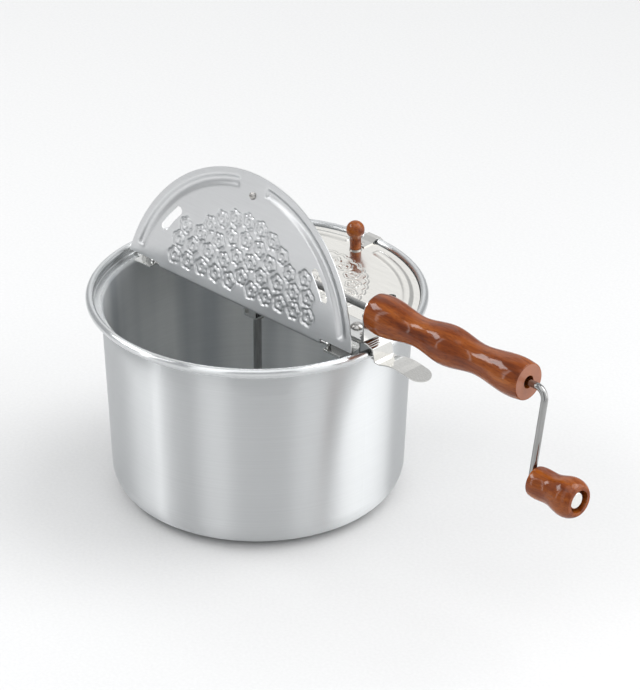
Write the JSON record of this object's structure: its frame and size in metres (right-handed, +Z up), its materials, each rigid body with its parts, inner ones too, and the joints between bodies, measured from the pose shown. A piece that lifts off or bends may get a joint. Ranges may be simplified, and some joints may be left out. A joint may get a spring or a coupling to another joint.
{
  "type": "stovetop popcorn popper",
  "caption": "Round aluminium pot with two half lids hinged on a centre bridge, a wooden handle and a hand crank that turns a geared stirrer.",
  "frame": {"origin": "centre of the pot's flat base, on the surface it stands on", "axes": "+Z up along the stirring shaft, +X along the handle, the open half lid lies toward -Y"},
  "size_m": [0.4463, 0.2497, 0.2494],
  "materials": {
    "pot_aluminium": "fine circumferential brushing, satin",
    "lid_aluminium": "polished pressed sheet",
    "plated_steel": "bright plated sheet steel",
    "spring_steel": "bright plated spring steel",
    "rivet_steel": "plain steel fasteners",
    "wire_steel": "bright plated steel wire",
    "gear_steel": "satin steel",
    "cap_steel": "bright plated cap",
    "bush_brass": "plain brass",
    "lacquered_wood": "red-brown stain under clear lacquer"
  },
  "bodies": {
    "base": {"pot": "pot_aluminium", "bridge": "plated_steel", "gear_bracket": "plated_steel", "gear_bracket_rivets": "rivet_steel", "shaft_strap": "plated_steel", "strap_eyelet": "rivet_steel", "handle_bracket": "plated_steel", "handle_bracket_rivet": "rivet_steel", "handle_bracket_pins": "rivet_steel", "handle": "lacquered_wood", "handle_screws": "rivet_steel", "front_hinge_wire": "wire_steel", "rear_hinge_wire": "wire_steel", "clip_root": "spring_steel", "rod_bushes": "bush_brass"},
    "front_lid_set": {"front_lid": "lid_aluminium", "front_lid_knob": "lacquered_wood", "front_knob_screw": "rivet_steel", "front_knob_washer": "rivet_steel"},
    "rear_lid_set": {"rear_lid": "lid_aluminium", "rear_lid_knob": "lacquered_wood", "rear_knob_screw": "rivet_steel", "rear_knob_washer": "rivet_steel", "rim_clip": "spring_steel", "rim_clip_rivet": "rivet_steel"},
    "clip_tongue": {"release_clip": "spring_steel"},
    "crank": {"crank_rod": "wire_steel", "crank_gear": "gear_steel", "rod_collar": "gear_steel", "cap_nut": "cap_steel", "knob_disc": "rivet_steel"},
    "crank_grip": {"crank_knob": "lacquered_wood"},
    "stirrer": {"stir_shaft": "wire_steel", "stir_gear": "gear_steel", "gear_washer": "rivet_steel", "shaft_ring": "gear_steel", "stirrer_hub": "gear_steel", "stirrer_wire": "wire_steel"}
  },
  "joints": [
    {"name": "front_lid_hinge", "type": "hinge", "parent": "base", "child": "front_lid_set", "pos_m": [0, -0.0192, 0.1536], "axis": [1, 0, 0], "range_deg": [0, 100.2]},
    {"name": "rear_lid_hinge", "type": "hinge", "parent": "base", "child": "rear_lid_set", "pos_m": [0, 0.0192, 0.1536], "axis": [1, 0, 0], "range_deg": [0, 73]},
    {"name": "release_clip_flex", "type": "hinge", "parent": "base", "child": "clip_tongue", "pos_m": [0.12025, 0, 0.1624], "axis": [0, -1, 0], "range_deg": [0, 8], "stiffness_Nm_per_rad": 2},
    {"name": "crank_spin", "type": "hinge", "parent": "base", "child": "crank", "pos_m": [0, 0, 0.1825], "axis": [1, 0, 0], "continuous": true},
    {"name": "stir_spin", "type": "hinge", "parent": "base", "child": "stirrer", "pos_m": [0, 0, 0.1], "axis": [0, 0, 1], "continuous": true},
    {"name": "crank_knob_spin", "type": "hinge", "parent": "crank", "child": "crank_grip", "pos_m": [0.3, -0.01186, 0.11849], "axis": [1, 0, 0], "continuous": true}
  ],
  "couplings": [
    {"joint": "stir_spin", "follows": "crank_spin", "ratio": 1}
  ]
}
